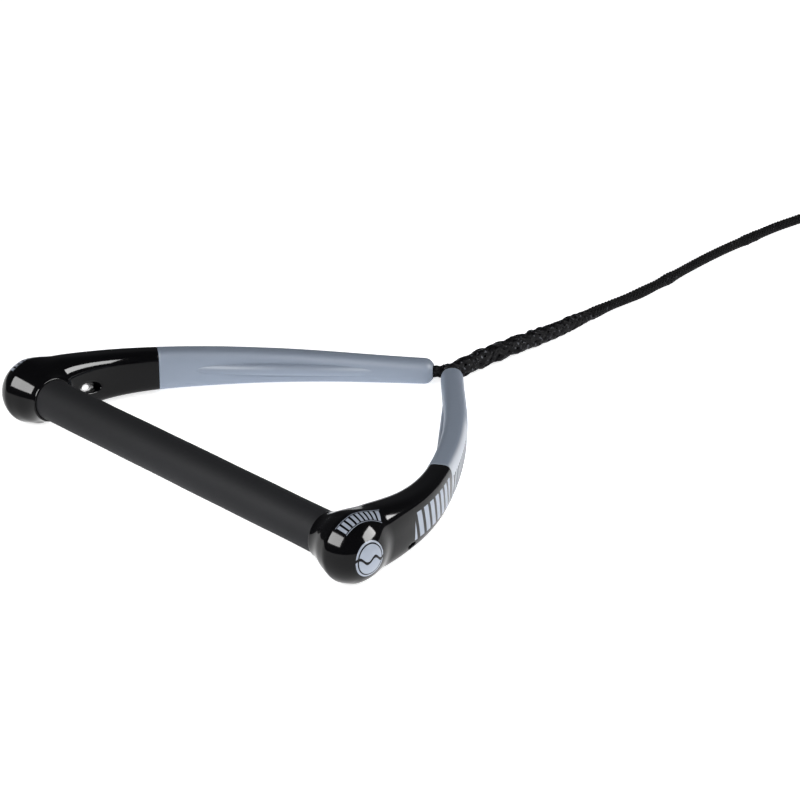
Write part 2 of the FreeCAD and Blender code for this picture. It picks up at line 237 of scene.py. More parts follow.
class Paint:
    """A Principled material with short calls for its nodes."""

    def __init__(self, name, color, roughness, **settings):
        self.material = bpy.data.materials.new(name)
        self.material.use_nodes = True
        self.tree = self.material.node_tree
        self.shader = self.tree.nodes["Principled BSDF"]
        self.set("Base Color", (*color, 1))
        self.set("Roughness", roughness)
        for socket, value in settings.items():
            self.set(socket.replace("_", " "), value)

    def set(self, socket, value):
        self.shader.inputs[socket].default_value = value

    def feed(self, socket, output):
        self.tree.links.new(output, self.shader.inputs[socket])

    def put(self, target, value):
        """A number, or another node's output, into a socket."""
        if isinstance(value, bpy.types.NodeSocket):
            self.tree.links.new(value, target)
        else:
            target.default_value = value

    def math(self, operation, *values):
        node = self.tree.nodes.new("ShaderNodeMath")
        node.operation = operation
        for target, value in zip(node.inputs, values):
            self.put(target, value)
        return node.outputs[0]

    def split(self, name):
        """The three numbers of a mesh attribute."""
        attribute = self.tree.nodes.new("ShaderNodeAttribute")
        attribute.attribute_name = name
        node = self.tree.nodes.new("ShaderNodeSeparateXYZ")
        self.tree.links.new(attribute.outputs["Vector"], node.inputs[0])
        return node.outputs

    def place(self):
        return self.tree.nodes.new("ShaderNodeTexCoord").outputs["Object"]

    def noise(self, scale, detail=4.0, place=None, stretch=None):
        where = place or self.place()
        if stretch:
            mapping = self.tree.nodes.new("ShaderNodeMapping")
            mapping.inputs["Scale"].default_value = stretch
            self.tree.links.new(where, mapping.inputs["Vector"])
            where = mapping.outputs[0]
        node = self.tree.nodes.new("ShaderNodeTexNoise")
        node.inputs["Scale"].default_value = scale
        node.inputs["Detail"].default_value = detail
        self.tree.links.new(where, node.inputs["Vector"])
        return node.outputs["Fac"]

    def spread(self, value, low, high, new_low, new_high):
        """A number between low and high, moved to between new_low and new_high."""
        node = self.tree.nodes.new("ShaderNodeMapRange")
        for target, number in zip(node.inputs, (value, low, high, new_low, new_high)):
            self.put(target, number)
        return node.outputs[0]

    def mix(self, share, first, second):
        node = self.tree.nodes.new("ShaderNodeMix")
        node.data_type = "RGBA"
        self.put(node.inputs["Factor"], share)
        for target, value in (("A", first), ("B", second)):
            socket = next(s for s in node.inputs if s.name == target and s.type == "RGBA")
            self.put(socket, value if isinstance(value, bpy.types.NodeSocket) else (*value, 1))
        return next(s for s in node.outputs if s.type == "RGBA")

    def bump(self, height, strength, distance):
        node = self.tree.nodes.new("ShaderNodeBump")
        node.inputs["Strength"].default_value = strength
        node.inputs["Distance"].default_value = distance
        self.tree.links.new(height, node.inputs["Height"])
        self.feed("Normal", node.outputs[0])

    def inside(self, value, low, high, soft=0.12):
        """1 between low and high, 0 outside, with a thin soft edge."""
        rise = self.spread(value, low - soft, low + soft, 0, 1)
        fall = self.spread(value, high - soft, high + soft, 1, 0)
        return self.math("MULTIPLY", rise, fall)


# --- print, in millimetres. Bars are placed by distance along the arm and by height. On a
# moulded end that distance is from the bar's axis, and on a guard it is from the guard's start.
# Only faces further out from the arm's centreline than OUTER_FACE carry bars.
PRINT_GREY = (0.36, 0.40, 0.47)
PRINT_DARK = (0.018, 0.019, 0.022)
# the light colour is a print colour that also stands in as painted glare on the guards' outer faces
PRINT_LIGHT_AND_GLARE = (0.50, 0.53, 0.58)
MOULDING_BLACK = (0.0025, 0.0025, 0.003)
OUTER_FACE = 4.0
ARM_BARS = (41.0, 92.0)
ARM_BAR_RISE = (-8.2, 8.2)
ARM_BAR_STEP = 7.4
ARM_BAR_SHARE = 0.62
ARM_BAR_SLANT = 0.22
GUARD_BARS = (2.0, 58.0)
GUARD_BAR_RISE = (-7.2, 4.8)
# where the guards' light outer panel lies and fades: part print panel, part painted glare
GUARD_PRINT_AND_GLARE = (-20.0, 77.0)
GUARD_PRINT_AND_GLARE_FADE = 9.0
GUARD_BAR_STEP = 4.5
GUARD_BAR_SHARE = 0.52
GUARD_BAR_SLANT = 0.28
# the round disc on the ball's outer side, with a wave line across it
DISC_PLACE = (-1.7, -0.8)
DISC_NARROWING = 1.18
DISC_RINGS = (9.0, 9.8, 10.9)
DISC_FROM_X = 160.0
WAVE_HEIGHT = 1.6
WAVE_RATE = 0.55
WAVE_HALF = 0.9
# the arched label over the disc: angles in radians
LABEL_REACH = (1.04, 1.33)
LABEL_EDGES = ((1.00, 1.015), (1.355, 1.37))
LABEL_TURN = (0.80, 2.28)
LABEL_STEP = 0.165
LABEL_SHARE = 0.6


def slanted_bars(paint, along, rise, step, share, slant):
    """Evenly spaced bars across the arm, leaning along it."""
    leaning = paint.math("ADD", along, paint.math("MULTIPLY", rise, slant))
    phase = paint.math("FRACT", paint.math("DIVIDE", leaning, step))
    return paint.inside(phase, 0.04, 0.04 + share, 0.02)


def waved_disc(paint):
    """A disc in a thin ring on the ball's outer side, cut by a wave line."""
    flat_x, flat_y, flat_z = paint.split("flat")
    side_y = paint.math("MULTIPLY", DISC_NARROWING, paint.math("SUBTRACT", flat_y, DISC_PLACE[0]))
    side_z = paint.math("SUBTRACT", flat_z, DISC_PLACE[1])
    reach = paint.math("SQRT", paint.math(
        "ADD", paint.math("MULTIPLY", side_y, side_y), paint.math("MULTIPLY", side_z, side_z)
    ))
    middle, ring = paint.inside(reach, -1, DISC_RINGS[0]), paint.inside(reach, *DISC_RINGS[1:])
    disc = paint.math("ADD", middle, ring)
    swing = paint.math("SINE", paint.math("MULTIPLY", side_y, WAVE_RATE))
    wave = paint.math("SUBTRACT", side_z, paint.math("MULTIPLY", WAVE_HEIGHT, swing))
    wave = paint.inside(paint.math("ABSOLUTE", wave), -1, WAVE_HALF)
    disc = paint.math("MULTIPLY", disc, paint.math("SUBTRACT", 1, wave))
    return paint.math("MULTIPLY", disc, paint.math("GREATER_THAN", flat_x, DISC_FROM_X))


def arched_label(paint):
    """Short bars in an arch over the disc, by angle from the bar's line and round it."""
    flat_x, flat_y, flat_z = paint.split("flat")
    off_axis = paint.math("SQRT", paint.math(
        "ADD", paint.math("MULTIPLY", flat_y, flat_y), paint.math("MULTIPLY", flat_z, flat_z)
    ))
    reach = paint.math("ARCTAN2", off_axis, paint.math("SUBTRACT", flat_x, BALL_X))
    turn = paint.math("ARCTAN2", flat_z, flat_y)
    phase = paint.math("FRACT", paint.math("DIVIDE", turn, LABEL_STEP))
    blocks = paint.inside(phase, 0.04, 0.04 + LABEL_SHARE, 0.03)
    label = paint.math("MULTIPLY", blocks, paint.inside(reach, *LABEL_REACH, 0.006))
    for edge in LABEL_EDGES:
        label = paint.math("MAXIMUM", label, paint.inside(reach, *edge, 0.006))
    return paint.math("MULTIPLY", label, paint.inside(turn, *LABEL_TURN, 0.006))


def gloss_black():
    """Black gloss moulding with plain printed shapes on its outer faces."""
    paint = Paint("gloss_black", MOULDING_BLACK, 0.085, Specular_IOR_Level=0.15)
    along, across, rise = paint.split("arm")
    outward = paint.math("GREATER_THAN", across, OUTER_FACE)
    bars = slanted_bars(paint, along, rise, ARM_BAR_STEP, ARM_BAR_SHARE, ARM_BAR_SLANT)
    bars = paint.math("MULTIPLY", bars, paint.inside(along, *ARM_BARS))
    bars = paint.math("MULTIPLY", bars, paint.inside(rise, *ARM_BAR_RISE))
    bars = paint.math("MULTIPLY", bars, outward)
    disc = waved_disc(paint)
    marks = paint.math("MAXIMUM", paint.math("MAXIMUM", bars, disc), arched_label(paint))
    paint.feed("Base Color", paint.mix(marks, MOULDING_BLACK, PRINT_GREY))
    paint.feed("Roughness", paint.math(
        "ADD", paint.spread(paint.noise(60.0), 0.35, 0.7, 0.06, 0.11), paint.math("MULTIPLY", marks, 0.22)
    ))
    paint.bump(paint.noise(900.0, 2.0), 0.015, 0.0004)
    return paint.material


def grey_guard():
    """Satin blue-grey moulding with dark bars near its start, on the outer face, where a light print panel
    is lightened further as painted glare.
    """
    color = (0.240, 0.282, 0.352)
    paint = Paint("grey_guard", color, 0.48, Specular_IOR_Level=0.25)
    along, across, rise = paint.split("arm")
    bars = slanted_bars(paint, along, rise, GUARD_BAR_STEP, GUARD_BAR_SHARE, GUARD_BAR_SLANT)
    bars = paint.math("MULTIPLY", bars, paint.inside(along, *GUARD_BARS))
    bars = paint.math("MULTIPLY", bars, paint.inside(rise, *GUARD_BAR_RISE))
    bars = paint.math("MULTIPLY", bars, paint.math("GREATER_THAN", across, OUTER_FACE))
    cloud = paint.spread(paint.noise(300.0), 0.3, 0.7, 0.0, 0.25)
    tint = paint.mix(cloud, color, (0.230, 0.270, 0.340))
    # the light outer panel on the outermost face: part print, part painted glare
    print_and_glare = paint.inside(along, *GUARD_PRINT_AND_GLARE, GUARD_PRINT_AND_GLARE_FADE)
    print_and_glare = paint.math("MULTIPLY", paint.spread(across, 4.5, 6.2, 0, 1), print_and_glare)
    face = paint.mix(print_and_glare, tint, PRINT_LIGHT_AND_GLARE)
    paint.feed("Base Color", paint.mix(bars, face, PRINT_DARK))
    paint.feed("Roughness", paint.spread(paint.noise(400.0), 0.3, 0.7, 0.46, 0.51))
    paint.bump(paint.noise(800.0, 2.0), 0.03, 0.0001)
    return paint.material


def grip_rubber():
    """Matte charcoal rubber with a fine grain and faint rubbed patches."""
    paint = Paint("grip_rubber", (0.013, 0.0135, 0.015), 0.62, Specular_IOR_Level=0.12)
    worn = paint.noise(22.0, 5.0, stretch=(0.35, 1, 1))
    paint.feed("Base Color", paint.mix(
        paint.spread(worn, 0.35, 0.7, 0, 1), (0.0075, 0.008, 0.0095), (0.0115, 0.012, 0.0145)
    ))
    paint.feed("Roughness", paint.spread(worn, 0.3, 0.75, 0.68, 0.54))
    grain = paint.math("ADD", paint.noise(2600.0, 3.0), paint.noise(900.0, 2.0))
    paint.bump(grain, 0.35, 0.00012)
    return paint.material


def braid_fibre(name, dark, light, glint_share):
    """Flat strands of fine filaments, with a few patches of painted glint in their colour."""
    paint = Paint(name, dark, 0.42, Specular_IOR_Level=0.05)
    across = paint.split("braid")[1]
    lines = paint.math("SINE", paint.math("MULTIPLY", across, 26.0))
    # patches lighter in colour: painted glints where light would catch the filaments
    speck = paint.noise(420.0, 2.0)
    tone = paint.spread(speck, glint_share, glint_share + 0.06, 0, 1)
    fine = paint.spread(lines, -1, 1, 0, 0.35)
    base = paint.mix(fine, dark, tuple(2.2 * c for c in dark))
    paint.feed("Base Color", paint.mix(paint.math("MULTIPLY", tone, 0.8), base, light))
    paint.feed("Roughness", paint.spread(paint.noise(200.0), 0.3, 0.7, 0.34, 0.52))
    paint.bump(lines, 0.5, 0.00015)
    return paint.material


def woven_strap():
    """Black webbing: ribs across and fine threads along."""
    paint = Paint("strap_webbing", (0.004, 0.004, 0.0045), 0.8, Specular_IOR_Level=0.15)
    weave = paint.noise(1400.0, 2.0, stretch=(1, 1, 0.4))
    paint.feed("Base Color", paint.mix(weave, (0.003, 0.003, 0.0035), (0.012, 0.012, 0.013)))
    paint.bump(weave, 0.6, 0.0003)
    return paint.material


def plain_inner(name, color, roughness, grain, **settings):
    """For pieces inside the bar: a little grain in tone and surface."""
    paint = Paint(name, color, roughness, **settings)
    speck = paint.noise(grain)
    paint.feed("Base Color", paint.mix(speck, color, tuple(0.8 * c for c in color)))
    paint.bump(speck, 0.2, 0.0002)
    return paint.material


# =================================================================== shape helpers


def laid(points):
    """From the handle's flat layout in millimetres to its place on the floor in metres."""
    x, y, z = np.asarray(points, float).T
    return np.column_stack([
        x, y * math.cos(TILT) + z * math.sin(TILT), z * math.cos(TILT) - y * math.sin(TILT)
    ]) * MM


def smooth_table(places, values, start_slope, end_slope):
    """A smooth curve through a short table, as a function that reads it."""
    places = np.asarray(places, float)
    values = np.asarray(values, float)
    gaps = np.diff(places)
    steps = np.diff(values) / gaps
    count = len(places)
    system = np.eye(count)
    right = np.zeros(count)
    right[0], right[-1] = start_slope, end_slope
    for i in range(1, count - 1):
        system[i, i - 1] = 1 / gaps[i - 1]
        system[i, i] = 2 / gaps[i - 1] + 2 / gaps[i]
        system[i, i + 1] = 1 / gaps[i]
        right[i] = 3 * (steps[i - 1] / gaps[i - 1] + steps[i] / gaps[i])
    slopes = np.linalg.solve(system, right)

    def read(at):
        i = np.clip(np.searchsorted(places, at) - 1, 0, count - 2)
        t = np.clip((at - places[i]) / gaps[i], 0, 1)
        return (
            (2 * t ** 3 - 3 * t ** 2 + 1) * values[i]
            + (t ** 3 - 2 * t ** 2 + t) * gaps[i] * slopes[i]
            + (3 * t ** 2 - 2 * t ** 3) * values[i + 1]
            + (t ** 3 - t ** 2) * gaps[i] * slopes[i + 1]
        )

    return read


class ArmLine:
    """The right arm's centreline in plan, read by distance from the bar."""

    def __init__(self):
        chords = np.r_[0, np.cumsum(np.linalg.norm(np.diff(ARM_PLAN, axis=0), axis=1))]
        plan_x = smooth_table(chords, ARM_PLAN[:, 0], 0.0, -0.751)
        plan_y = smooth_table(chords, ARM_PLAN[:, 1], 1.0, 0.660)
        fine = np.linspace(0, chords[-1], 1200)
        line = np.column_stack([plan_x(fine), plan_y(fine)])
        walked = np.r_[0, np.cumsum(np.linalg.norm(np.diff(line, axis=0), axis=1))]
        self.length = walked[-1]
        self.step = 0.5
        self.marks = np.arange(0, self.length + self.step, self.step)
        self.points = np.column_stack([np.interp(self.marks, walked, line[:, k]) for k in (0, 1)])
        heading = np.gradient(self.points, axis=0)
        self.heading = heading / np.linalg.norm(heading, axis=1)[:, None]

    def at(self, distance):
        """Point and heading; past the end, straight on."""
        inside = min(distance, self.length)
        point, heading = self.read(inside)
        return point + heading * (distance - inside), heading

    def read(self, distance):
        point = np.column_stack([np.interp(distance, self.marks, self.points[:, k]) for k in (0, 1)])
        heading = np.column_stack([np.interp(distance, self.marks, self.heading[:, k]) for k in (0, 1)])
        return np.squeeze(point), np.squeeze(heading)

    def coordinates(self, x, y):
        """Distance along and outward offset of points in plan, near the arm's root."""
        keep = slice(0, int(115 / self.step), 2)
        points, marks = self.points[keep], self.marks[keep]
        flat = np.column_stack([np.ravel(x), np.ravel(y)])
        nearest = np.concatenate([
            ((part[:, None, :] - points[None]) ** 2).sum(2).argmin(1)
            for part in np.array_split(flat, max(1, len(flat) // 4000))
        ])
        foot = marks[nearest]
        for _ in range(2):
            point, heading = self.read(foot)
            offset = flat - point
            along = foot + (offset * heading).sum(1)
            foot = np.clip(along, 0, self.length)
        across = offset[:, 0] * heading[:, 1] - offset[:, 1] * heading[:, 0]
        return along.reshape(np.shape(x)), across.reshape(np.shape(x))


ARM = ArmLine()
half_width = smooth_table(ARM_STATIONS, ARM_HALF_WIDTH, -0.02, 0.0)
half_height = smooth_table(ARM_STATIONS, ARM_HALF_HEIGHT, -0.05, -0.016)
squareness = smooth_table(ARM_STATIONS, ARM_SQUARENESS, 0.0, 0.0)
neck_radius = smooth_table(NECK_PLACES, NECK_RADII, 0.1, -0.192)


def add_mesh(name, points, faces, smooth=True):
    mesh = bpy.data.meshes.new(name)
    mesh.from_pydata([tuple(p) for p in points], [], [tuple(int(i) for i in f) for f in faces])
    mesh.polygons.foreach_set("use_smooth", [smooth] * len(mesh.polygons))
    mesh.update()
    piece = bpy.data.objects.new(name, mesh)
    bpy.context.scene.collection.objects.link(piece)
    return piece


def add_attribute(piece, name, vectors):
    layer = piece.data.attributes.new(name, "FLOAT_VECTOR", "POINT")
    layer.data.foreach_set("vector", np.asarray(vectors, np.float32).ravel())


def tube_faces(rings, around, start=0, closed=False):
    """Quads between rows of points, each row a closed ring."""
    faces = []
    for ring in range(rings if closed else rings - 1):
        here = start + ring * around
        there = start + ((ring + 1) % rings) * around
        for k in range(around):
            after = (k + 1) % around
            faces.append((here + k, here + after, there + after, there + k))
    return faces


# =================================================================== moulded ends


def blend_union(a, b, width):
    share = np.maximum(width - np.abs(a - b), 0) / width
    return np.minimum(a, b) - share * share * width / 4


def blend_cut(a, b, width):
    """Where both are below zero, with a rounded edge."""
    return -blend_union(-a, -b, width)


def oval_distance(across, high, wide_half, high_half, power):
    size = (np.abs(across / wide_half) ** power + np.abs(high / high_half) ** power) ** (1 / power)
    size = np.maximum(size, 1e-3)
    return (size - 1) * np.hypot(across, high) / size


def moulding_distance(x, y, z, arm_place, end):
    """Roughly how far a point is outside the moulded end; below zero is inside."""
    along, across = arm_place
    rho = np.hypot(y, z)
    dome = np.hypot(x - BALL_X, rho) - BALL_RADIUS
    neck = rho - neck_radius(np.clip(x, MOUTH_X, SHOULDER_X))
    ball = np.where(x > SHOULDER_X, dome, neck * 0.95)
    ball = blend_cut(ball, MOUTH_X - x, MOUTH_ROUNDING)
    arm = oval_distance(across, z, half_width(along), half_height(along), squareness(along))
    arm = blend_cut(arm, along - end, END_ROUNDING)
    arm = blend_cut(arm, -along - 2.0, ROOT_ROUNDING)
    body = blend_union(ball, arm, BALL_BLEND)
    recess = np.maximum(rho - RECESS_RADIUS, x - RECESS_END)
    body = blend_cut(body, -recess, RECESS_ROUNDING)
    way = DRAIN_WAY / np.linalg.norm(DRAIN_WAY)
    level = np.array((way[1], -way[0], 0)) / math.hypot(way[0], way[1])
    upward = np.cross(way, level)
    dx, dy, dz = x - DRAIN_MOUTH[0], y - DRAIN_MOUTH[1], z - DRAIN_MOUTH[2]
    depth = dx * way[0] + dy * way[1] + dz * way[2]
    hole = oval_distance(
        dx * level[0] + dy * level[1] + dz * level[2],
        dx * upward[0] + dy * upward[1] + dz * upward[2],
        np.interp(depth, DRAIN_PLACES, DRAIN_HALF_WIDE),
        np.interp(depth, DRAIN_PLACES, DRAIN_HALF_HIGH),
        2.0,
    )
    hole = np.maximum(hole, DRAIN_PLACES[0] - depth)
    return blend_cut(body, -hole, np.where(depth < DRAIN_LIP_DEPTH, DRAIN_LIP, DRAIN_EXIT_LIP))


def surface_net(values, origin, cell):
    """Points and quads where a grid of distances crosses zero."""
    inside = values < 0
    corner_sum = np.zeros(tuple(n - 1 for n in values.shape))
    crossing = np.zeros(corner_sum.shape, int)
    place = np.zeros(corner_sum.shape + (3,))
    corners = [(i, j, k) for i in (0, 1) for j in (0, 1) for k in (0, 1)]

    def corner(grid, c):
        return grid[tuple(slice(o, o + n - 1) for o, n in zip(c, grid.shape))]

    for a in corners:
        for axis in range(3):
            if a[axis]:
                continue
            b = tuple(1 if k == axis else a[k] for k in range(3))
            va, vb = corner(values, a), corner(values, b)
            cut = (va < 0) != (vb < 0)
            share = np.where(cut, va / np.where(cut, va - vb, 1), 0)
            crossing += cut
            for k in range(3):
                place[..., k] += np.where(cut, a[k] + (share if k == axis else 0), 0)
    used = crossing > 0
    number = np.full(used.shape, -1)
    number[used] = np.arange(used.sum())
    cells = np.argwhere(used)
    points = origin + (cells + place[used] / crossing[used][:, None]) * cell
    faces = []
    for axis in range(3):
        ahead = [slice(None)] * 3
        behind = [slice(None)] * 3
        ahead[axis], behind[axis] = slice(1, None), slice(None, -1)
        first, second = inside[tuple(behind)], inside[tuple(ahead)]
        u, v = (axis + 1) % 3, (axis + 2) % 3
        for leaves, keep in ((True, first & ~second), (False, second & ~first)):
            edges = np.argwhere(keep)
            edges = edges[(edges[:, u] > 0) & (edges[:, v] > 0)]
            quad = []
            for du, dv in ((-1, -1), (0, -1), (0, 0), (-1, 0)):
                at = edges.copy()
                at[:, u] += du
                at[:, v] += dv
                quad.append(number[tuple(at.T)])
            quad = np.column_stack(quad if leaves else quad[::-1])
            faces.append(quad)
    return points, np.concatenate(faces)


def moulding_shape(end):
    """A moulded end in the right-hand flat layout: points, faces, normals, arm places."""
    low = np.array(MOULDING_LOW)
    axes = [np.arange(a, b, MOULDING_CELL) for a, b in zip(MOULDING_LOW, MOULDING_HIGH)]
    plan_x, plan_y = np.meshgrid(axes[0], axes[1], indexing="ij")
    along, across = ARM.coordinates(plan_x, plan_y)
    x, y, z = np.meshgrid(*axes, indexing="ij")
    values = moulding_distance(x, y, z, (along[..., None] + 0 * z, across[..., None] + 0 * z), end)
    points, faces = surface_net(values, low, MOULDING_CELL)

    def distance(p):
        return moulding_distance(*p.T, ARM.coordinates(p[:, 0], p[:, 1]), end)

    for _ in range(4):
        slope = np.column_stack([
            (distance(points + shift) - distance(points - shift)) / 0.2
            for shift in 0.1 * np.eye(3)
        ])
        size = np.maximum((slope ** 2).sum(1), 0.2)
        move = slope * (distance(points) / size)[:, None]
        points = points - np.clip(move, -0.4, 0.4)
    normals = slope / np.linalg.norm(slope, axis=1)[:, None]
    along, across = ARM.coordinates(points[:, 0], points[:, 1])
    return points, faces, normals, np.column_stack([along, across, points[:, 2]])


def add_moulded_ends(material):
    for side, name in ((1, "right"), (-1, "left")):
        points, faces, normals, places = moulding_shape(GUARD_STARTS[name])
        mirror = np.array((side, 1, 1))
        wound = faces if side == 1 else faces[:, ::-1]
        piece = add_mesh(f"{name}_moulded_end", laid(points * mirror), wound)
        shown = laid(normals * mirror) / MM
        piece.data.normals_split_custom_set_from_vertices([tuple(n) for n in shown])
        add_attribute(piece, "flat", points)
        add_attribute(piece, "arm", places)
        piece.data.materials.append(material)
        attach(piece, "handle")
        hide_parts(f"{name}_end_moulding")


# =================================================================== arm guards


def even_section(station):
    """The arm's section, with points evenly spaced round it: across and up."""
    angle = np.linspace(0, 2 * math.pi, 4000)
    power = 2 / squareness(station)
    wide = np.sign(np.cos(angle)) * np.abs(np.cos(angle)) ** power * half_width(station)
    high = np.sign(np.sin(angle)) * np.abs(np.sin(angle)) ** power * half_height(station)
    walked = np.r_[0, np.cumsum(np.hypot(np.diff(wide), np.diff(high)))]
    marks = np.linspace(0, walked[-1], GUARD_AROUND, endpoint=False)
    return np.interp(marks, walked, wide), np.interp(marks, walked, high)


def guard_shape(start, tip_past):
    """A guard in the right-hand flat layout: rings from its start to its rounded tip."""
    end = ARM.length + tip_past
    body = np.arange(start + 0.5, end - TIP_ROUNDING, GUARD_STEP)
    steps = np.sin(np.linspace(0, math.pi / 2, 14))
    edge = {start + past: share for past, share in GUARD_EDGE}
    stations = np.r_[list(edge), body, end - TIP_ROUNDING + TIP_ROUNDING * steps]
    angle = np.linspace(0, 2 * math.pi, GUARD_AROUND, endpoint=False)
    rows, places = [], []

    def add_ring(station, share, hole=None):
        centre, heading = ARM.at(station)
        wide, high = even_section(station)
        if hole is not None:
            wide, high = np.cos(angle) * hole, np.sin(angle) * hole
            share = 1.0
        across = np.array((heading[1], -heading[0]))
        ring = np.column_stack([centre[0] + across[0] * wide * share,
                                centre[1] + across[1] * wide * share, high * share])
        rows.append(ring)
        places.append(np.column_stack([np.full(GUARD_AROUND, station - start), wide * share, high * share]))

    add_ring(start, 0, GUARD_BORE)
    for station in stations:
        past = max(0.0, (station - (end - TIP_ROUNDING)) / TIP_ROUNDING)
        round_share = (1 - past ** TIP_POWER) ** (1 / TIP_POWER) if past < 1 else 0.0
        share = max(round_share, TIP_OPEN_SHARE)
        add_ring(station, share * edge.get(station, 1.0))
        if round_share < TIP_OPEN_SHARE:
            break
    tip = stations[min(len(rows) - 2, len(stations) - 1)]
    add_ring(tip + 0.15, 0, TIP_HOLE + 0.25)
    add_ring(tip - 0.1, 0, TIP_HOLE)
    add_ring(tip - 4.0, 0, TIP_HOLE - 0.2)
    add_ring(tip - 4.2, 0, GUARD_BORE)
    points = np.concatenate(rows)
    return points, np.array(tube_faces(len(rows), GUARD_AROUND, closed=True)), np.concatenate(places)


def add_guards(material):
    for side, name in ((1, "right"), (-1, "left")):
        points, faces, places = guard_shape(GUARD_STARTS[name], TIP_PASTS[name])
        wound = faces if side == 1 else faces[:, ::-1]
        piece = add_mesh(f"{name}_guard", laid(points * np.array((side, 1, 1))), wound)
        add_attribute(piece, "arm", places)
        piece.data.materials.append(material)
        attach(piece, "handle")
        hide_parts(f"{name}_arm_guard")


# =================================================================== grip


def add_grip(material):
    """The rubber sleeve: a lathe shape with softly uneven sides."""
    around, rings = 128, 240
    places = np.linspace(-GRIP_HALF, GRIP_HALF, rings)
    angle = np.linspace(0, 2 * math.pi, around, endpoint=False)
    rows = []
    for x in places:
        swell = 0.05 * math.sin(x * 0.11) + 0.04 * math.sin(x * 0.037 + 1.0)
        radius = GRIP_RADIUS - GRIP_SKIN + swell + 0.03 * np.sin(3 * angle + x * 0.05)
        rows.append(np.column_stack([np.full(around, x), radius * np.cos(angle), radius * np.sin(angle)]))
    for x in (GRIP_HALF, -GRIP_HALF):
        rows.append(np.column_stack([np.full(around, x), 11 * np.cos(angle), 11 * np.sin(angle)]))
    piece = add_mesh("grip", np.concatenate(rows) * MM, tube_faces(len(rows), around, closed=True))
    piece.data.materials.append(material)
    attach(piece, "handle")
    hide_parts("grip_sleeve")


# =================================================================== rope


def nurbs(name, points):
    """A NURBS spline of order 3 with those control points, as a curve with no bevel."""
    curve = bpy.data.curves.new(name, "CURVE")
    curve.dimensions = "3D"
    spline = curve.splines.new("NURBS")
    spline.points.add(len(points) - 1)
    for target, point in zip(spline.points, points):
        target.co = (*point, 1)
    spline.order_u = 3
    spline.use_endpoint_u = True
    spline.resolution_u = 12
    return bpy.data.objects.new(name, curve)


def route_points(name, points, step):
    """Evenly spaced points along the route's NURBS spline, in metres."""
    guide = nurbs(name, points)
    bpy.context.scene.collection.objects.link(guide)
    bpy.context.view_layer.update()
    evaluated = guide.evaluated_get(bpy.context.evaluated_depsgraph_get())
    mesh = bpy.data.meshes.new_from_object(evaluated)
    line = np.array([v.co[:] for v in mesh.vertices])
    bpy.data.meshes.remove(mesh)
    bpy.data.objects.remove(guide)
    return even(line, step)


def even(line, step):
    walked = np.r_[0, np.cumsum(np.linalg.norm(np.diff(line, axis=0), axis=1))]
    keep = np.r_[True, np.diff(walked) > 1e-9]
    marks = np.linspace(0, walked[-1], int(walked[-1] / step) + 2)
    return np.column_stack([np.interp(marks, walked[keep], line[keep, k]) for k in range(3)])


def frames_along(line):
    """Headings, and two directions square to them that turn as little as they can."""
    heading = np.gradient(line, axis=0)
    heading /= np.linalg.norm(heading, axis=1)[:, None]
    side = np.zeros_like(line)
    first = np.cross(heading[0], (0, 0, 1.0))
    side[0] = first / np.linalg.norm(first)
    for i in range(1, len(line)):
        moved = side[i - 1] - heading[i] * (side[i - 1] @ heading[i])
        side[i] = moved / np.linalg.norm(moved)
    return heading, side, np.cross(heading, side)


def braid(line, radii, pairs, pitch, thickness, weave):
    """Two-over-two braid round a line: points, faces and strand places, in metres."""
    section = 8
    heading, side, up = frames_along(line)
    walked = np.r_[0, np.cumsum(np.linalg.norm(np.diff(line, axis=0), axis=1))]
    # the lay keeps its slope where the rope is thicker or thinner
    usual = np.median(radii)
    turns = np.r_[0, np.cumsum(np.diff(walked) * usual / np.maximum(radii[1:], usual * 0.5))] / pitch
    theta = np.linspace(0, 2 * math.pi, section, endpoint=False)
    points, faces, places = [], [], []
    total = 0
    for direction in (1, -1):
        for k in range(pairs):
            angle = 2 * math.pi * (k / pairs + direction * turns)
            crossing = 2 * turns * pairs
            phase = math.pi / 2 * (2 * k + direction * crossing) - math.pi / 4
            lift = direction * weave * np.cos(phase)
            outward = side * np.cos(angle)[:, None] + up * np.sin(angle)[:, None]
            depth = np.maximum(radii - thickness / 2 - weave, radii * 0.3) + lift
            middle = line + outward * depth[:, None]
            along = np.gradient(middle, axis=0)
            along /= np.linalg.norm(along, axis=1)[:, None]
            across = np.cross(along, outward)
            across /= np.linalg.norm(across, axis=1)[:, None]
            slope = np.abs((along * heading).sum(1))
            half = math.pi * radii / pairs * np.clip(slope, 0.3, 1) * STRAND_FILL
            wide = half[:, None] * np.cos(theta)
            high = thickness / 2 * np.sin(theta)[None] - wide ** 2 / (2 * np.maximum(radii, 1e-4))[:, None]
            ring = (middle[:, None, :] + across[:, None, :] * wide[..., None]
                    + outward[:, None, :] * high[..., None])
            points.append(ring.reshape(-1, 3))
            faces += tube_faces(len(line), section, total)
            faces.append(tuple(range(total + section - 1, total - 1, -1)))
            last = total + (len(line) - 1) * section
            faces.append(tuple(range(last, last + section)))
            places.append(np.column_stack([
                np.repeat(walked * 1000, section),
                (wide / half[:, None]).ravel(),
                np.full(len(line) * section, k * direction),
            ]))
            total += len(line) * section
    return points, faces, places, total


def core_tube(line, radii, start, around=12):
    heading, side, up = frames_along(line)
    angle = np.linspace(0, 2 * math.pi, around, endpoint=False)
    ring = (line[:, None, :] + side[:, None, :] * (np.cos(angle) * radii[:, None])[..., None]
            + up[:, None, :] * (np.sin(angle) * radii[:, None])[..., None])
    faces = tube_faces(len(line), around, start)
    faces.append(tuple(range(start + around - 1, start - 1, -1)))
    last = start + (len(line) - 1) * around
    faces.append(tuple(range(last, last + around)))
    return ring.reshape(-1, 3), faces


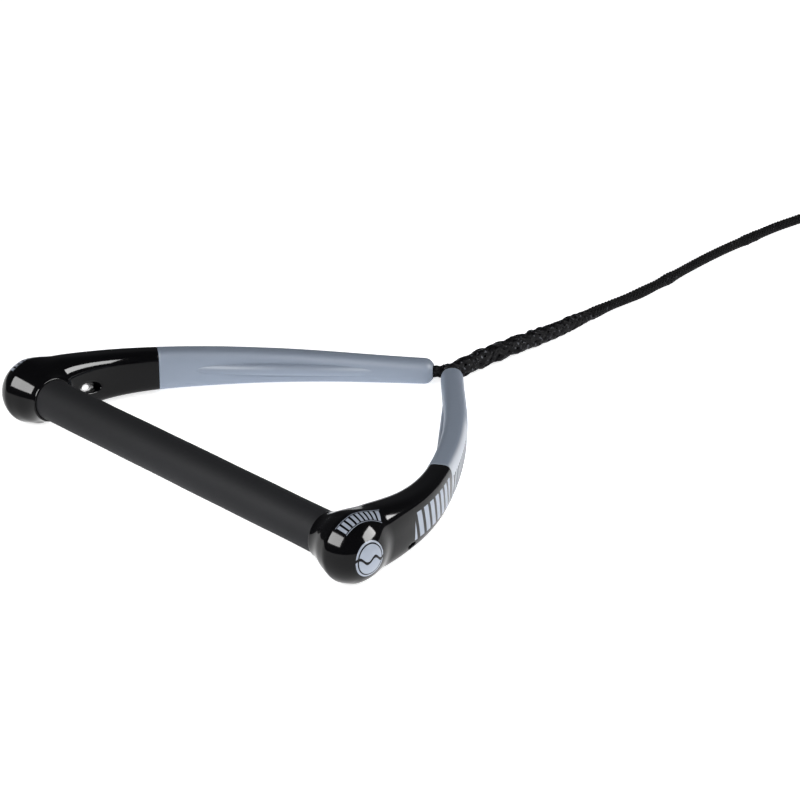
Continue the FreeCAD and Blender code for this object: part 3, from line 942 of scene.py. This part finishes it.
def add_braid(name, line, radii, lay, material, clear_of=None):
    """A braided rope piece: strands over a plain core. clear_of is a ball that it stays out of."""
    points, faces, places, total = braid(line, radii, *lay)
    thickness, weave = lay[2:]
    core, core_faces = core_tube(line, np.maximum(radii - thickness - weave, radii * 0.25), total)
    points.append(core)
    faces += core_faces
    places.append(np.zeros((len(core), 3)))
    points = np.concatenate(points)
    if clear_of is not None:
        centre, reach = clear_of
        away = points - centre
        gap = np.linalg.norm(away, axis=1)
        points = centre + away * (np.maximum(gap, reach) / gap)[:, None]
    piece = add_mesh(name, points, faces)
    add_attribute(piece, "braid", np.concatenate(places))
    piece.data.materials.append(material)
    return piece


def coil_route():
    """Two and a quarter turns: out on the floor, in on the floor, then up on top of both."""
    points = []
    count = int(COIL_TURNS[-1] * COIL_STEPS)
    for step in range(count + 1):
        turns = step / COIL_STEPS
        radius = np.interp(turns, COIL_TURNS, COIL_RADII) / math.cos(0.6 * math.pi / COIL_STEPS)
        near_tie = abs((turns - TIE_TURN + 0.5) % 1 - 0.5) * COIL_STEPS
        lift = TIE_LIFT * max(0.0, 1 - near_tie / 3)
        rise = np.interp(turns, COIL_TURNS, COIL_RISE) + lift
        angle = math.pi - 2 * math.pi * turns
        points.append((
            COIL_MIDDLE[0] + radius * math.cos(angle),
            COIL_MIDDLE[1] + radius * math.sin(angle),
            COIL_REST + rise,
        ))
    return points


def lumps(walked, radius, bumps):
    """The rope's radius with a few soft lumps: (distance, amount, width) in metres."""
    radii = np.full(len(walked), radius)
    for place, amount, width in bumps:
        radii = radii + amount * np.exp(-(((walked - place) / width) ** 2))
    return radii


def distances(line):
    return np.r_[0, np.cumsum(np.linalg.norm(np.diff(line, axis=0), axis=1))]


# braids: pairs of strands, then the length of a turn, a strand's thickness and its rise and fall
ROPE_BRAID = (8, 0.023, 0.0008, 0.00028)
BRIDLE_BRAID = (6, 0.024, 0.0010, 0.0003)
THROAT_BRAID = (5, 0.040, 0.0020, 0.00045)
EYE_BRAID = (5, 0.036, 0.0016, 0.0005)
RIPPLE_DEPTH = 0.0005
RIPPLE_LENGTH = 0.0165
EYE_PLACES = (0, 0.010, 0.025, 0.040, 0.052, 0.057)
EYE_RADII = (0.0037, 0.0046, 0.0058, 0.0062, 0.0064, 0.0056)
# soft lumps: distance along, height and width
ROPE_LUMPS = ((0.004, 0.0007, 0.012), (0.052, 0.0004, 0.010), (0.081, 0.0007, 0.007),
              (0.170, 0.0005, 0.004), (0.179, 0.0004, 0.004))
SPLICE_PLACES = (0.0, 0.0018, 0.004, 0.007, 0.0102, 0.013, 0.018, 0.032, 0.060, 0.076, 0.094,
                 0.110, 0.122, 0.132, 0.138, 0.150)
SPLICE_RADII = (0.0020, 0.0046, 0.0060, 0.0067, 0.0060, 0.0064, 0.0069, 0.0069, 0.0066, 0.0064, 0.0060,
                0.0056, 0.0050, 0.0043, 0.0040, 0.0038)


def add_rope(material):
    """The free rope, from the splice at the throat to the splice of the end loop."""
    route = list(LEAD_ROUTE) + coil_route() + list(TAIL_ROUTE)
    line = route_points("rope_route", route, 0.0011)
    radii = lumps(distances(line), ROPE_RADIUS * MM, ROPE_LUMPS)
    rope = add_braid("rope", line, radii, ROPE_BRAID, material)
    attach(rope, "rope")
    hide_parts("rope_lead", "rope_coil", "rope_tail")
    return rope, line


def add_throat_splice(chunky):
    line = route_points("splice_route", SPLICE_ROUTE, 0.0009)
    walked = distances(line)
    radii = np.interp(walked, SPLICE_PLACES, SPLICE_RADII)
    ripple = np.clip((walked - 0.012) / 0.02, 0, 1) * np.clip((0.095 - walked) / 0.03, 0, 1)
    radii = radii - RIPPLE_DEPTH * ripple * (1 - np.cos(2 * math.pi * walked / RIPPLE_LENGTH))
    piece = add_braid("throat_weave", line, radii, THROAT_BRAID, chunky)
    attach(piece, "rope")
    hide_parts("throat_splice")
    return piece


def add_bridle_legs(material):
    """The bridle's legs, from inside each tip to the cup round the splice's ball."""
    tip, heading = ARM.at(ARM.length - 8)
    _, last = ARM.at(ARM.length)
    for side, name in ((1, "right"), (-1, "left")):
        ends = np.array([
            (side * tip[0], tip[1], 0.0),
            (side * (THROAT[0] - last[0] * 4.0), THROAT[1] - last[1] * 4.0, 0.0),
        ])
        start, end = laid(ends)
        line = even(np.array([start, end]), 0.0008)
        radii = np.full(len(line), BRIDLE_RADIUS * MM)
        throat = laid([THROAT])[0]
        clear = (throat, (THROAT_BALL + 0.3) * MM)
        piece = add_braid(f"{name}_bridle", line, radii, BRIDLE_BRAID, material, clear)
        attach(piece, "handle")
        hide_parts(f"{name}_rope_leg")


def add_end_loop(material):
    """The eye: out of its splice, round, and back."""
    reach = LOOP_ENDS_Y - LOOP_MIDDLE[1]
    span = math.hypot(reach, LOOP_LEG_OFFSET)
    touch = math.atan2(reach, LOOP_LEG_OFFSET) - math.acos(LOOP_RADIUS / span)
    turn = np.linspace(touch, -math.pi - touch, 60)
    arc = np.column_stack([
        LOOP_MIDDLE[0] + LOOP_RADIUS * np.cos(turn),
        LOOP_MIDDLE[1] + LOOP_RADIUS * np.sin(turn),
        np.full(60, COIL_REST),
    ])
    start = (LOOP_MIDDLE[0] + LOOP_LEG_OFFSET, LOOP_ENDS_Y, COIL_REST)
    end = (LOOP_MIDDLE[0] - LOOP_LEG_OFFSET, LOOP_ENDS_Y, COIL_REST)
    line = even(np.array([start, *arc, end]), 0.0011)
    loop = add_braid("eye_loop", line, np.full(len(line), ROPE_RADIUS * MM), ROPE_BRAID, material)
    line = route_points("loop_splice_route", LOOP_SPLICE_ROUTE, 0.001)
    walked = distances(line)
    radii = np.interp(walked, EYE_PLACES, EYE_RADII)
    splice = add_braid("eye_splice", line, radii, EYE_BRAID, material)
    for piece, node in ((loop, "end_loop"), (splice, "end_loop_splice")):
        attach(piece, "rope")
        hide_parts(node)
    return loop, splice


# =================================================================== carried-over pieces


def paint_nodes():
    metal = plain_inner("tube_aluminium", (0.75, 0.76, 0.78), 0.35, 500.0, Metallic=1.0)
    foam = plain_inner("foam", (0.6, 0.6, 0.58), 0.9, 900.0)
    plug = plain_inner("plug_rubber", (0.08, 0.08, 0.08), 0.7, 700.0)
    cap = plain_inner("cap_plastic", (0.05, 0.05, 0.05), 0.5, 700.0)
    knot = plain_inner("knot_rope", (0.02, 0.02, 0.022), 0.6, 1200.0)
    by_ending = {
        "bar_tube": metal, "bar_foam_core": foam, "bar_plug": plug, "tube_end_cap": cap,
        "stopper_knot": knot, "coil_tie": woven_strap(),
    }
    for name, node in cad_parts.items():
        for ending, material in by_ending.items():
            if name.endswith(ending):
                node.data.materials.clear()
                node.data.materials.append(material)


add_camera()
add_studio()
# the lighter second colour of each fibre is its painted glint
rope_fibre = braid_fibre("rope_black", (0.0014, 0.0014, 0.0018), (0.07, 0.075, 0.085), 0.66)
splice_fibre = braid_fibre("splice_black", (0.0018, 0.0018, 0.0024), (0.13, 0.135, 0.15), 0.62)
rope_piece, rope_line = add_rope(rope_fibre)
weave_piece = add_throat_splice(splice_fibre)
eye_loop, eye_splice = add_end_loop(rope_fibre)
add_bridle_legs(rope_fibre)
add_moulded_ends(gloss_black())
add_guards(grey_guard())
add_grip(grip_rubber())
paint_nodes()
